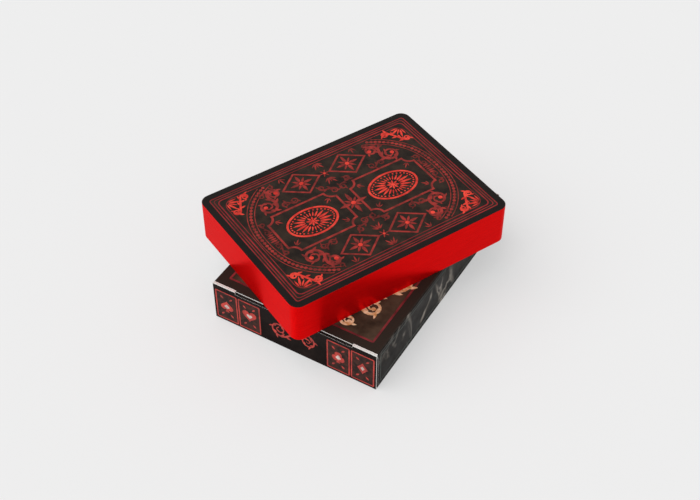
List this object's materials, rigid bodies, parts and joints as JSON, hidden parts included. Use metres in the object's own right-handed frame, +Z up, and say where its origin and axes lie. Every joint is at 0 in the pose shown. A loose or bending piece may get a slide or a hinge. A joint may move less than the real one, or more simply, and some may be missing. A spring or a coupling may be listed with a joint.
{
  "type": "playing card deck with tuck case",
  "caption": "Deck of gilt-edged playing cards lying askew on its folded tuck case. The deck lifts, fans and deals, and the lid opens with its tab and dust flaps.",
  "frame": {"origin": "middle of the case's underside, on the surface that it lies on", "axes": "+Z up through the case's front panel, +Y along the case from its lid to its closed end, +X across the case"},
  "size_m": [0.0922, 0.1042, 0.0329],
  "materials": {
    "card_stock": "coated card with a black and red printed back, a white face and red gilded edges",
    "case_board": "folding board, printed black outside, white inside and on its cut edges"
  },
  "bodies": {
    "case": {"sleeve": "case_board", "end_flaps": "case_board"},
    "lid": {"lid": "case_board"},
    "tuck_tab": {"tuck_tab": "case_board"},
    "left_dust_flap": {"left_dust_flap": "case_board"},
    "right_dust_flap": {"right_dust_flap": "case_board"},
    "ace_of_spades": {"ace_of_spades": "card_stock"},
    "two_of_spades": {"two_of_spades": "card_stock"},
    "three_of_spades": {"three_of_spades": "card_stock"},
    "four_of_spades": {"four_of_spades": "card_stock"},
    "five_of_spades": {"five_of_spades": "card_stock"},
    "six_of_spades": {"six_of_spades": "card_stock"},
    "seven_of_spades": {"seven_of_spades": "card_stock"},
    "eight_of_spades": {"eight_of_spades": "card_stock"},
    "nine_of_spades": {"nine_of_spades": "card_stock"},
    "ten_of_spades": {"ten_of_spades": "card_stock"},
    "jack_of_spades": {"jack_of_spades": "card_stock"},
    "queen_of_spades": {"queen_of_spades": "card_stock"},
    "king_of_spades": {"king_of_spades": "card_stock"},
    "ace_of_diamonds": {"ace_of_diamonds": "card_stock"},
    "two_of_diamonds": {"two_of_diamonds": "card_stock"},
    "three_of_diamonds": {"three_of_diamonds": "card_stock"},
    "four_of_diamonds": {"four_of_diamonds": "card_stock"},
    "five_of_diamonds": {"five_of_diamonds": "card_stock"},
    "six_of_diamonds": {"six_of_diamonds": "card_stock"},
    "seven_of_diamonds": {"seven_of_diamonds": "card_stock"},
    "eight_of_diamonds": {"eight_of_diamonds": "card_stock"},
    "nine_of_diamonds": {"nine_of_diamonds": "card_stock"},
    "ten_of_diamonds": {"ten_of_diamonds": "card_stock"},
    "jack_of_diamonds": {"jack_of_diamonds": "card_stock"},
    "queen_of_diamonds": {"queen_of_diamonds": "card_stock"},
    "king_of_diamonds": {"king_of_diamonds": "card_stock"},
    "ace_of_clubs": {"ace_of_clubs": "card_stock"},
    "two_of_clubs": {"two_of_clubs": "card_stock"},
    "three_of_clubs": {"three_of_clubs": "card_stock"},
    "four_of_clubs": {"four_of_clubs": "card_stock"},
    "five_of_clubs": {"five_of_clubs": "card_stock"},
    "six_of_clubs": {"six_of_clubs": "card_stock"},
    "seven_of_clubs": {"seven_of_clubs": "card_stock"},
    "eight_of_clubs": {"eight_of_clubs": "card_stock"},
    "nine_of_clubs": {"nine_of_clubs": "card_stock"},
    "ten_of_clubs": {"ten_of_clubs": "card_stock"},
    "jack_of_clubs": {"jack_of_clubs": "card_stock"},
    "queen_of_clubs": {"queen_of_clubs": "card_stock"},
    "king_of_clubs": {"king_of_clubs": "card_stock"},
    "ace_of_hearts": {"ace_of_hearts": "card_stock"},
    "two_of_hearts": {"two_of_hearts": "card_stock"},
    "three_of_hearts": {"three_of_hearts": "card_stock"},
    "four_of_hearts": {"four_of_hearts": "card_stock"},
    "five_of_hearts": {"five_of_hearts": "card_stock"},
    "six_of_hearts": {"six_of_hearts": "card_stock"},
    "seven_of_hearts": {"seven_of_hearts": "card_stock"},
    "eight_of_hearts": {"eight_of_hearts": "card_stock"},
    "nine_of_hearts": {"nine_of_hearts": "card_stock"},
    "ten_of_hearts": {"ten_of_hearts": "card_stock"},
    "jack_of_hearts": {"jack_of_hearts": "card_stock"},
    "queen_of_hearts": {"queen_of_hearts": "card_stock"},
    "king_of_hearts": {"king_of_hearts": "card_stock"},
    "black_joker": {"black_joker": "card_stock"},
    "red_joker": {"red_joker": "card_stock"}
  },
  "joints": [
    {"name": "lid_hinge", "type": "hinge", "parent": "case", "child": "lid", "pos_m": [0, -0.04498, 0.0004], "axis": [1, 0, 0], "range_deg": [0, 90]},
    {"name": "tuck_tab_crease", "type": "hinge", "parent": "lid", "child": "tuck_tab", "pos_m": [0, -0.04498, 0.01626], "axis": [1, 0, 0], "range_deg": [-90, 0]},
    {"name": "left_dust_flap_crease", "type": "hinge", "parent": "case", "child": "left_dust_flap", "pos_m": [-0.0321, -0.04442, 0.00863], "axis": [0, 0, 1], "range_deg": [-90, 0]},
    {"name": "right_dust_flap_crease", "type": "hinge", "parent": "case", "child": "right_dust_flap", "pos_m": [0.0321, -0.04442, 0.00863], "axis": [0, 0, 1], "range_deg": [0, 90]},
    {"name": "deck_lift", "type": "slide", "parent": "case", "child": "ace_of_spades", "axis": [0, 0, 1], "range_m": [0, 0.06]},
    {"name": "deck_fan", "type": "hinge", "parent": "ace_of_spades", "child": "black_joker", "pos_m": [0.00521, -0.04918, 0.02509], "axis": [0, 0, -1], "range_deg": [0, 130]},
    {"name": "top_card_deal", "type": "slide", "parent": "black_joker", "child": "red_joker", "axis": [0.9041, -0.4274, 0], "range_m": [0, 0.063]},
    {"name": "two_of_spades_fan", "type": "hinge", "parent": "ace_of_spades", "child": "two_of_spades", "pos_m": [0.00521, -0.04918, 0.02509], "axis": [0, 0, -1], "range_deg": [0, 2.5]},
    {"name": "three_of_spades_fan", "type": "hinge", "parent": "ace_of_spades", "child": "three_of_spades", "pos_m": [0.00521, -0.04918, 0.02509], "axis": [0, 0, -1], "range_deg": [0, 5]},
    {"name": "four_of_spades_fan", "type": "hinge", "parent": "ace_of_spades", "child": "four_of_spades", "pos_m": [0.00521, -0.04918, 0.02509], "axis": [0, 0, -1], "range_deg": [0, 7.5]},
    {"name": "five_of_spades_fan", "type": "hinge", "parent": "ace_of_spades", "child": "five_of_spades", "pos_m": [0.00521, -0.04918, 0.02509], "axis": [0, 0, -1], "range_deg": [0, 10]},
    {"name": "six_of_spades_fan", "type": "hinge", "parent": "ace_of_spades", "child": "six_of_spades", "pos_m": [0.00521, -0.04918, 0.02509], "axis": [0, 0, -1], "range_deg": [0, 12.5]},
    {"name": "seven_of_spades_fan", "type": "hinge", "parent": "ace_of_spades", "child": "seven_of_spades", "pos_m": [0.00521, -0.04918, 0.02509], "axis": [0, 0, -1], "range_deg": [0, 15]},
    {"name": "eight_of_spades_fan", "type": "hinge", "parent": "ace_of_spades", "child": "eight_of_spades", "pos_m": [0.00521, -0.04918, 0.02509], "axis": [0, 0, -1], "range_deg": [0, 17.5]},
    {"name": "nine_of_spades_fan", "type": "hinge", "parent": "ace_of_spades", "child": "nine_of_spades", "pos_m": [0.00521, -0.04918, 0.02509], "axis": [0, 0, -1], "range_deg": [0, 20]},
    {"name": "ten_of_spades_fan", "type": "hinge", "parent": "ace_of_spades", "child": "ten_of_spades", "pos_m": [0.00521, -0.04918, 0.02509], "axis": [0, 0, -1], "range_deg": [0, 22.5]},
    {"name": "jack_of_spades_fan", "type": "hinge", "parent": "ace_of_spades", "child": "jack_of_spades", "pos_m": [0.00521, -0.04918, 0.02509], "axis": [0, 0, -1], "range_deg": [0, 25]},
    {"name": "queen_of_spades_fan", "type": "hinge", "parent": "ace_of_spades", "child": "queen_of_spades", "pos_m": [0.00521, -0.04918, 0.02509], "axis": [0, 0, -1], "range_deg": [0, 27.5]},
    {"name": "king_of_spades_fan", "type": "hinge", "parent": "ace_of_spades", "child": "king_of_spades", "pos_m": [0.00521, -0.04918, 0.02509], "axis": [0, 0, -1], "range_deg": [0, 30]},
    {"name": "ace_of_diamonds_fan", "type": "hinge", "parent": "ace_of_spades", "child": "ace_of_diamonds", "pos_m": [0.00521, -0.04918, 0.02509], "axis": [0, 0, -1], "range_deg": [0, 32.5]},
    {"name": "two_of_diamonds_fan", "type": "hinge", "parent": "ace_of_spades", "child": "two_of_diamonds", "pos_m": [0.00521, -0.04918, 0.02509], "axis": [0, 0, -1], "range_deg": [0, 35]},
    {"name": "three_of_diamonds_fan", "type": "hinge", "parent": "ace_of_spades", "child": "three_of_diamonds", "pos_m": [0.00521, -0.04918, 0.02509], "axis": [0, 0, -1], "range_deg": [0, 37.5]},
    {"name": "four_of_diamonds_fan", "type": "hinge", "parent": "ace_of_spades", "child": "four_of_diamonds", "pos_m": [0.00521, -0.04918, 0.02509], "axis": [0, 0, -1], "range_deg": [0, 40]},
    {"name": "five_of_diamonds_fan", "type": "hinge", "parent": "ace_of_spades", "child": "five_of_diamonds", "pos_m": [0.00521, -0.04918, 0.02509], "axis": [0, 0, -1], "range_deg": [0, 42.5]},
    {"name": "six_of_diamonds_fan", "type": "hinge", "parent": "ace_of_spades", "child": "six_of_diamonds", "pos_m": [0.00521, -0.04918, 0.02509], "axis": [0, 0, -1], "range_deg": [0, 45]},
    {"name": "seven_of_diamonds_fan", "type": "hinge", "parent": "ace_of_spades", "child": "seven_of_diamonds", "pos_m": [0.00521, -0.04918, 0.02509], "axis": [0, 0, -1], "range_deg": [0, 47.5]},
    {"name": "eight_of_diamonds_fan", "type": "hinge", "parent": "ace_of_spades", "child": "eight_of_diamonds", "pos_m": [0.00521, -0.04918, 0.02509], "axis": [0, 0, -1], "range_deg": [0, 50]},
    {"name": "nine_of_diamonds_fan", "type": "hinge", "parent": "ace_of_spades", "child": "nine_of_diamonds", "pos_m": [0.00521, -0.04918, 0.02509], "axis": [0, 0, -1], "range_deg": [0, 52.5]},
    {"name": "ten_of_diamonds_fan", "type": "hinge", "parent": "ace_of_spades", "child": "ten_of_diamonds", "pos_m": [0.00521, -0.04918, 0.02509], "axis": [0, 0, -1], "range_deg": [0, 55]},
    {"name": "jack_of_diamonds_fan", "type": "hinge", "parent": "ace_of_spades", "child": "jack_of_diamonds", "pos_m": [0.00521, -0.04918, 0.02509], "axis": [0, 0, -1], "range_deg": [0, 57.5]},
    {"name": "queen_of_diamonds_fan", "type": "hinge", "parent": "ace_of_spades", "child": "queen_of_diamonds", "pos_m": [0.00521, -0.04918, 0.02509], "axis": [0, 0, -1], "range_deg": [0, 60]},
    {"name": "king_of_diamonds_fan", "type": "hinge", "parent": "ace_of_spades", "child": "king_of_diamonds", "pos_m": [0.00521, -0.04918, 0.02509], "axis": [0, 0, -1], "range_deg": [0, 62.5]},
    {"name": "ace_of_clubs_fan", "type": "hinge", "parent": "ace_of_spades", "child": "ace_of_clubs", "pos_m": [0.00521, -0.04918, 0.02509], "axis": [0, 0, -1], "range_deg": [0, 65]},
    {"name": "two_of_clubs_fan", "type": "hinge", "parent": "ace_of_spades", "child": "two_of_clubs", "pos_m": [0.00521, -0.04918, 0.02509], "axis": [0, 0, -1], "range_deg": [0, 67.5]},
    {"name": "three_of_clubs_fan", "type": "hinge", "parent": "ace_of_spades", "child": "three_of_clubs", "pos_m": [0.00521, -0.04918, 0.02509], "axis": [0, 0, -1], "range_deg": [0, 70]},
    {"name": "four_of_clubs_fan", "type": "hinge", "parent": "ace_of_spades", "child": "four_of_clubs", "pos_m": [0.00521, -0.04918, 0.02509], "axis": [0, 0, -1], "range_deg": [0, 72.5]},
    {"name": "five_of_clubs_fan", "type": "hinge", "parent": "ace_of_spades", "child": "five_of_clubs", "pos_m": [0.00521, -0.04918, 0.02509], "axis": [0, 0, -1], "range_deg": [0, 75]},
    {"name": "six_of_clubs_fan", "type": "hinge", "parent": "ace_of_spades", "child": "six_of_clubs", "pos_m": [0.00521, -0.04918, 0.02509], "axis": [0, 0, -1], "range_deg": [0, 77.5]},
    {"name": "seven_of_clubs_fan", "type": "hinge", "parent": "ace_of_spades", "child": "seven_of_clubs", "pos_m": [0.00521, -0.04918, 0.02509], "axis": [0, 0, -1], "range_deg": [0, 80]},
    {"name": "eight_of_clubs_fan", "type": "hinge", "parent": "ace_of_spades", "child": "eight_of_clubs", "pos_m": [0.00521, -0.04918, 0.02509], "axis": [0, 0, -1], "range_deg": [0, 82.5]},
    {"name": "nine_of_clubs_fan", "type": "hinge", "parent": "ace_of_spades", "child": "nine_of_clubs", "pos_m": [0.00521, -0.04918, 0.02509], "axis": [0, 0, -1], "range_deg": [0, 85]},
    {"name": "ten_of_clubs_fan", "type": "hinge", "parent": "ace_of_spades", "child": "ten_of_clubs", "pos_m": [0.00521, -0.04918, 0.02509], "axis": [0, 0, -1], "range_deg": [0, 87.5]},
    {"name": "jack_of_clubs_fan", "type": "hinge", "parent": "ace_of_spades", "child": "jack_of_clubs", "pos_m": [0.00521, -0.04918, 0.02509], "axis": [0, 0, -1], "range_deg": [0, 90]},
    {"name": "queen_of_clubs_fan", "type": "hinge", "parent": "ace_of_spades", "child": "queen_of_clubs", "pos_m": [0.00521, -0.04918, 0.02509], "axis": [0, 0, -1], "range_deg": [0, 92.5]},
    {"name": "king_of_clubs_fan", "type": "hinge", "parent": "ace_of_spades", "child": "king_of_clubs", "pos_m": [0.00521, -0.04918, 0.02509], "axis": [0, 0, -1], "range_deg": [0, 95]},
    {"name": "ace_of_hearts_fan", "type": "hinge", "parent": "ace_of_spades", "child": "ace_of_hearts", "pos_m": [0.00521, -0.04918, 0.02509], "axis": [0, 0, -1], "range_deg": [0, 97.5]},
    {"name": "two_of_hearts_fan", "type": "hinge", "parent": "ace_of_spades", "child": "two_of_hearts", "pos_m": [0.00521, -0.04918, 0.02509], "axis": [0, 0, -1], "range_deg": [0, 100]},
    {"name": "three_of_hearts_fan", "type": "hinge", "parent": "ace_of_spades", "child": "three_of_hearts", "pos_m": [0.00521, -0.04918, 0.02509], "axis": [0, 0, -1], "range_deg": [0, 102.5]},
    {"name": "four_of_hearts_fan", "type": "hinge", "parent": "ace_of_spades", "child": "four_of_hearts", "pos_m": [0.00521, -0.04918, 0.02509], "axis": [0, 0, -1], "range_deg": [0, 105]},
    {"name": "five_of_hearts_fan", "type": "hinge", "parent": "ace_of_spades", "child": "five_of_hearts", "pos_m": [0.00521, -0.04918, 0.02509], "axis": [0, 0, -1], "range_deg": [0, 107.5]},
    {"name": "six_of_hearts_fan", "type": "hinge", "parent": "ace_of_spades", "child": "six_of_hearts", "pos_m": [0.00521, -0.04918, 0.02509], "axis": [0, 0, -1], "range_deg": [0, 110]},
    {"name": "seven_of_hearts_fan", "type": "hinge", "parent": "ace_of_spades", "child": "seven_of_hearts", "pos_m": [0.00521, -0.04918, 0.02509], "axis": [0, 0, -1], "range_deg": [0, 112.5]},
    {"name": "eight_of_hearts_fan", "type": "hinge", "parent": "ace_of_spades", "child": "eight_of_hearts", "pos_m": [0.00521, -0.04918, 0.02509], "axis": [0, 0, -1], "range_deg": [0, 115]},
    {"name": "nine_of_hearts_fan", "type": "hinge", "parent": "ace_of_spades", "child": "nine_of_hearts", "pos_m": [0.00521, -0.04918, 0.02509], "axis": [0, 0, -1], "range_deg": [0, 117.5]},
    {"name": "ten_of_hearts_fan", "type": "hinge", "parent": "ace_of_spades", "child": "ten_of_hearts", "pos_m": [0.00521, -0.04918, 0.02509], "axis": [0, 0, -1], "range_deg": [0, 120]},
    {"name": "jack_of_hearts_fan", "type": "hinge", "parent": "ace_of_spades", "child": "jack_of_hearts", "pos_m": [0.00521, -0.04918, 0.02509], "axis": [0, 0, -1], "range_deg": [0, 122.5]},
    {"name": "queen_of_hearts_fan", "type": "hinge", "parent": "ace_of_spades", "child": "queen_of_hearts", "pos_m": [0.00521, -0.04918, 0.02509], "axis": [0, 0, -1], "range_deg": [0, 125]},
    {"name": "king_of_hearts_fan", "type": "hinge", "parent": "ace_of_spades", "child": "king_of_hearts", "pos_m": [0.00521, -0.04918, 0.02509], "axis": [0, 0, -1], "range_deg": [0, 127.5]}
  ],
  "couplings": [
    {"joint": "tuck_tab_crease", "follows": "lid_hinge", "ratio": -0.97},
    {"joint": "left_dust_flap_crease", "follows": "lid_hinge", "ratio": -1},
    {"joint": "right_dust_flap_crease", "follows": "lid_hinge", "ratio": 1},
    {"joint": "two_of_spades_fan", "follows": "deck_fan", "ratio": 0.01923},
    {"joint": "three_of_spades_fan", "follows": "deck_fan", "ratio": 0.038461},
    {"joint": "four_of_spades_fan", "follows": "deck_fan", "ratio": 0.057692},
    {"joint": "five_of_spades_fan", "follows": "deck_fan", "ratio": 0.076923},
    {"joint": "six_of_spades_fan", "follows": "deck_fan", "ratio": 0.096153},
    {"joint": "seven_of_spades_fan", "follows": "deck_fan", "ratio": 0.11538},
    {"joint": "eight_of_spades_fan", "follows": "deck_fan", "ratio": 0.13462},
    {"joint": "nine_of_spades_fan", "follows": "deck_fan", "ratio": 0.15385},
    {"joint": "ten_of_spades_fan", "follows": "deck_fan", "ratio": 0.17308},
    {"joint": "jack_of_spades_fan", "follows": "deck_fan", "ratio": 0.19231},
    {"joint": "queen_of_spades_fan", "follows": "deck_fan", "ratio": 0.21154},
    {"joint": "king_of_spades_fan", "follows": "deck_fan", "ratio": 0.23077},
    {"joint": "ace_of_diamonds_fan", "follows": "deck_fan", "ratio": 0.25},
    {"joint": "two_of_diamonds_fan", "follows": "deck_fan", "ratio": 0.26923},
    {"joint": "three_of_diamonds_fan", "follows": "deck_fan", "ratio": 0.28846},
    {"joint": "four_of_diamonds_fan", "follows": "deck_fan", "ratio": 0.30769},
    {"joint": "five_of_diamonds_fan", "follows": "deck_fan", "ratio": 0.32692},
    {"joint": "six_of_diamonds_fan", "follows": "deck_fan", "ratio": 0.34615},
    {"joint": "seven_of_diamonds_fan", "follows": "deck_fan", "ratio": 0.36538},
    {"joint": "eight_of_diamonds_fan", "follows": "deck_fan", "ratio": 0.38461},
    {"joint": "nine_of_diamonds_fan", "follows": "deck_fan", "ratio": 0.40385},
    {"joint": "ten_of_diamonds_fan", "follows": "deck_fan", "ratio": 0.42308},
    {"joint": "jack_of_diamonds_fan", "follows": "deck_fan", "ratio": 0.44231},
    {"joint": "queen_of_diamonds_fan", "follows": "deck_fan", "ratio": 0.46154},
    {"joint": "king_of_diamonds_fan", "follows": "deck_fan", "ratio": 0.48077},
    {"joint": "ace_of_clubs_fan", "follows": "deck_fan", "ratio": 0.5},
    {"joint": "two_of_clubs_fan", "follows": "deck_fan", "ratio": 0.51923},
    {"joint": "three_of_clubs_fan", "follows": "deck_fan", "ratio": 0.53846},
    {"joint": "four_of_clubs_fan", "follows": "deck_fan", "ratio": 0.55769},
    {"joint": "five_of_clubs_fan", "follows": "deck_fan", "ratio": 0.57692},
    {"joint": "six_of_clubs_fan", "follows": "deck_fan", "ratio": 0.59615},
    {"joint": "seven_of_clubs_fan", "follows": "deck_fan", "ratio": 0.61538},
    {"joint": "eight_of_clubs_fan", "follows": "deck_fan", "ratio": 0.63462},
    {"joint": "nine_of_clubs_fan", "follows": "deck_fan", "ratio": 0.65385},
    {"joint": "ten_of_clubs_fan", "follows": "deck_fan", "ratio": 0.67308},
    {"joint": "jack_of_clubs_fan", "follows": "deck_fan", "ratio": 0.69231},
    {"joint": "queen_of_clubs_fan", "follows": "deck_fan", "ratio": 0.71154},
    {"joint": "king_of_clubs_fan", "follows": "deck_fan", "ratio": 0.73077},
    {"joint": "ace_of_hearts_fan", "follows": "deck_fan", "ratio": 0.75},
    {"joint": "two_of_hearts_fan", "follows": "deck_fan", "ratio": 0.76923},
    {"joint": "three_of_hearts_fan", "follows": "deck_fan", "ratio": 0.78846},
    {"joint": "four_of_hearts_fan", "follows": "deck_fan", "ratio": 0.80769},
    {"joint": "five_of_hearts_fan", "follows": "deck_fan", "ratio": 0.82692},
    {"joint": "six_of_hearts_fan", "follows": "deck_fan", "ratio": 0.84615},
    {"joint": "seven_of_hearts_fan", "follows": "deck_fan", "ratio": 0.86538},
    {"joint": "eight_of_hearts_fan", "follows": "deck_fan", "ratio": 0.88462},
    {"joint": "nine_of_hearts_fan", "follows": "deck_fan", "ratio": 0.90385},
    {"joint": "ten_of_hearts_fan", "follows": "deck_fan", "ratio": 0.92308},
    {"joint": "jack_of_hearts_fan", "follows": "deck_fan", "ratio": 0.94231},
    {"joint": "queen_of_hearts_fan", "follows": "deck_fan", "ratio": 0.96154},
    {"joint": "king_of_hearts_fan", "follows": "deck_fan", "ratio": 0.98077}
  ]
}
